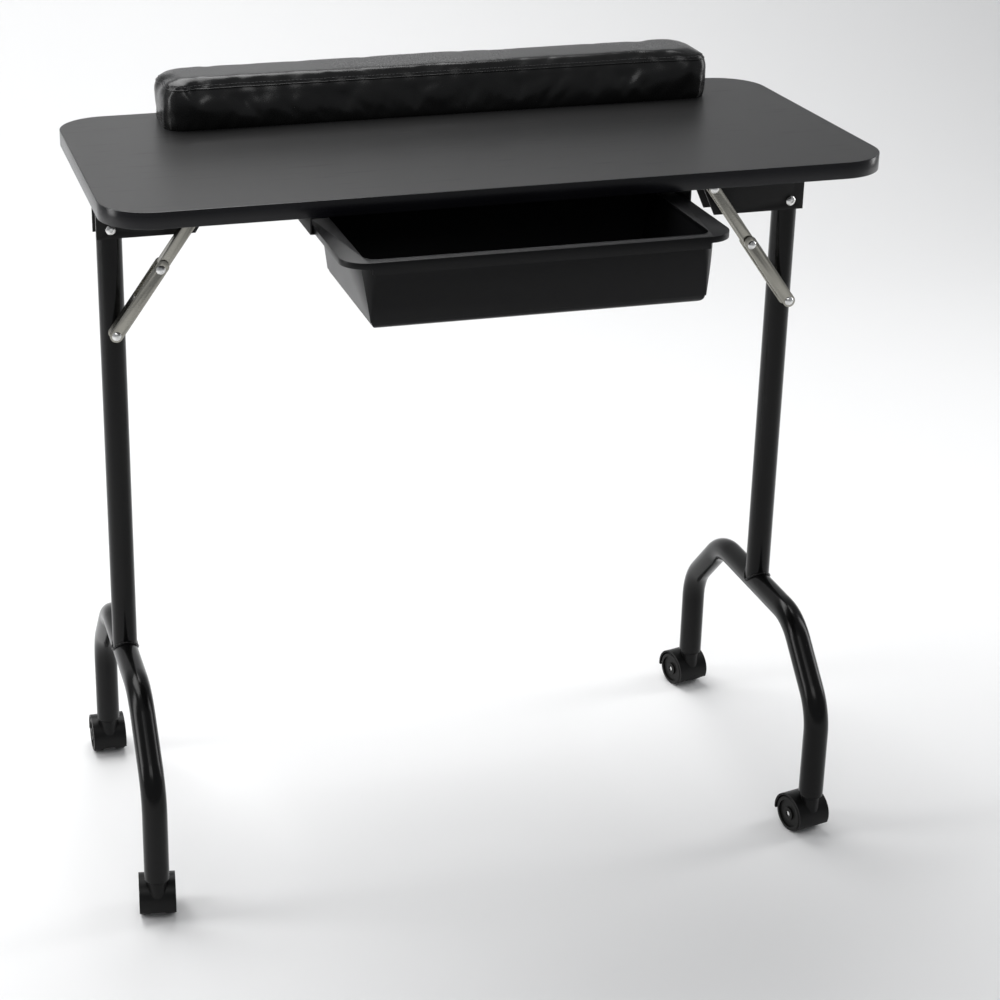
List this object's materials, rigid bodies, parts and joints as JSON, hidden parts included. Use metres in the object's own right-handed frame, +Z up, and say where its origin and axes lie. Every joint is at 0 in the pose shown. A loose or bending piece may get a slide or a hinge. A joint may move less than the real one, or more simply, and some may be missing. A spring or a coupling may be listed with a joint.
{
  "type": "folding manicure table",
  "caption": "Folding manicure table: round-cornered board with a long hand-rest cushion, pull-out tray, folding T-shaped tube legs with braces, and swivel casters.",
  "frame": {"origin": "on the floor under the middle of the table's overall extents, tray pulled out", "axes": "+X along the board to the right, +Y to the back edge with the cushion, +Z up"},
  "size_m": [0.76, 0.5026, 0.79],
  "materials": {
    "laminate": "semi-gloss dark laminate",
    "band": "glossy edge band",
    "vinyl": "glossy black vinyl",
    "plywood": "raw plywood",
    "channel_steel": "matt black paint",
    "tube_paint": "gloss black paint",
    "tray_plastic": "satin moulded",
    "hood_plastic": "satin moulded",
    "wheel_plastic": "satin moulded",
    "link_zinc": "zinc plated",
    "chrome": "polished",
    "hardware": "zinc plated"
  },
  "bodies": {
    "table_top": {"top_board": "laminate", "edge_band": "band", "cushion": "vinyl", "cushion_base": "plywood", "cushion_screws": "hardware", "channel_left": "channel_steel", "channel_right": "channel_steel", "channel_screws": "hardware", "rail_left": "channel_steel", "rail_right": "channel_steel", "rail_screws": "hardware", "pivot_bolt_left": "hardware", "pivot_bolt_right": "hardware", "pivot_nuts": "hardware", "brace_stud_left": "hardware", "brace_stud_right": "hardware"},
    "tray": {"tray": "tray_plastic"},
    "leg_left": {"post_left": "tube_paint", "foot_left": "tube_paint", "tube_inserts_left": "hood_plastic", "brace_pin_left": "hardware"},
    "lower_brace_left": {"lower_link_left": "link_zinc", "link_rivet_left": "hardware"},
    "upper_brace_left": {"upper_link_left": "link_zinc"},
    "leg_right": {"post_right": "tube_paint", "foot_right": "tube_paint", "tube_inserts_right": "hood_plastic", "brace_pin_right": "hardware"},
    "lower_brace_right": {"lower_link_right": "link_zinc", "link_rivet_right": "hardware"},
    "upper_brace_right": {"upper_link_right": "link_zinc"},
    "caster_lf": {"caster_stem_lf": "chrome", "caster_hood_lf": "hood_plastic"},
    "wheels_lf": {"caster_wheels_lf": "wheel_plastic", "caster_axle_lf": "hardware"},
    "caster_lb": {"caster_stem_lb": "chrome", "caster_hood_lb": "hood_plastic"},
    "wheels_lb": {"caster_wheels_lb": "wheel_plastic", "caster_axle_lb": "hardware"},
    "caster_rf": {"caster_stem_rf": "chrome", "caster_hood_rf": "hood_plastic"},
    "wheels_rf": {"caster_wheels_rf": "wheel_plastic", "caster_axle_rf": "hardware"},
    "caster_rb": {"caster_stem_rb": "chrome", "caster_hood_rb": "hood_plastic"},
    "wheels_rb": {"caster_wheels_rb": "wheel_plastic", "caster_axle_rb": "hardware"}
  },
  "joints": [
    {"name": "fold_left", "type": "hinge", "parent": "table_top", "child": "leg_left", "pos_m": [-0.352, 0.0449, 0.6786], "axis": [0, -1, 0], "range_deg": [0, 85]},
    {"name": "lower_brace_left_turn", "type": "hinge", "parent": "leg_left", "child": "lower_brace_left", "pos_m": [-0.352, 0.0229, 0.57435], "axis": [0, -1, 0], "range_deg": [-0.5, 48.5]},
    {"name": "upper_brace_left_turn", "type": "hinge", "parent": "table_top", "child": "upper_brace_left", "pos_m": [-0.26258, 0.0229, 0.70062], "axis": [0, -1, 0], "range_deg": [-22, 0.5]},
    {"name": "fold_right", "type": "hinge", "parent": "table_top", "child": "leg_right", "pos_m": [0.352, 0.0449, 0.6566], "axis": [0, 1, 0], "range_deg": [0, 79]},
    {"name": "lower_brace_right_turn", "type": "hinge", "parent": "leg_right", "child": "lower_brace_right", "pos_m": [0.352, 0.0229, 0.55235], "axis": [0, 1, 0], "range_deg": [-0.5, 44.1]},
    {"name": "upper_brace_right_turn", "type": "hinge", "parent": "table_top", "child": "upper_brace_right", "pos_m": [0.26258, 0.0229, 0.67862], "axis": [0, 1, 0], "range_deg": [-25.1, 0.5]},
    {"name": "tray_slide", "type": "slide", "parent": "table_top", "child": "tray", "axis": [0, 1, 0], "range_m": [-0.04, 0.113]},
    {"name": "caster_lf_swivel", "type": "hinge", "parent": "leg_left", "child": "caster_lf", "pos_m": [-0.352, -0.1238, 0.06], "axis": [0, 0, 1], "continuous": true},
    {"name": "caster_lf_roll", "type": "hinge", "parent": "caster_lf", "child": "wheels_lf", "pos_m": [-0.35033, -0.11192, 0.0195], "axis": [0.9903, -0.1392, 0], "continuous": true},
    {"name": "caster_lb_swivel", "type": "hinge", "parent": "leg_left", "child": "caster_lb", "pos_m": [-0.352, 0.2136, 0.06], "axis": [0, 0, 1], "continuous": true},
    {"name": "caster_lb_roll", "type": "hinge", "parent": "caster_lb", "child": "wheels_lb", "pos_m": [-0.352, 0.2256, 0.0195], "axis": [1, 0, 0], "continuous": true},
    {"name": "caster_rf_swivel", "type": "hinge", "parent": "leg_right", "child": "caster_rf", "pos_m": [0.352, -0.1238, 0.06], "axis": [0, 0, 1], "continuous": true},
    {"name": "caster_rf_roll", "type": "hinge", "parent": "caster_rf", "child": "wheels_rf", "pos_m": [0.3493, -0.11211, 0.0195], "axis": [0.9744, 0.225, 0], "continuous": true},
    {"name": "caster_rb_swivel", "type": "hinge", "parent": "leg_right", "child": "caster_rb", "pos_m": [0.352, 0.2136, 0.06], "axis": [0, 0, 1], "continuous": true},
    {"name": "caster_rb_roll", "type": "hinge", "parent": "caster_rb", "child": "wheels_rb", "pos_m": [0.3491, 0.22524, 0.0195], "axis": [0.9703, 0.2419, 0], "continuous": true}
  ],
  "couplings": [
    {"joint": "lower_brace_left_turn", "follows": "fold_left", "ratio": 0.5644},
    {"joint": "upper_brace_left_turn", "follows": "fold_left", "ratio": -0.2529},
    {"joint": "lower_brace_right_turn", "follows": "fold_right", "ratio": 0.5515},
    {"joint": "upper_brace_right_turn", "follows": "fold_right", "ratio": -0.3109}
  ]
}
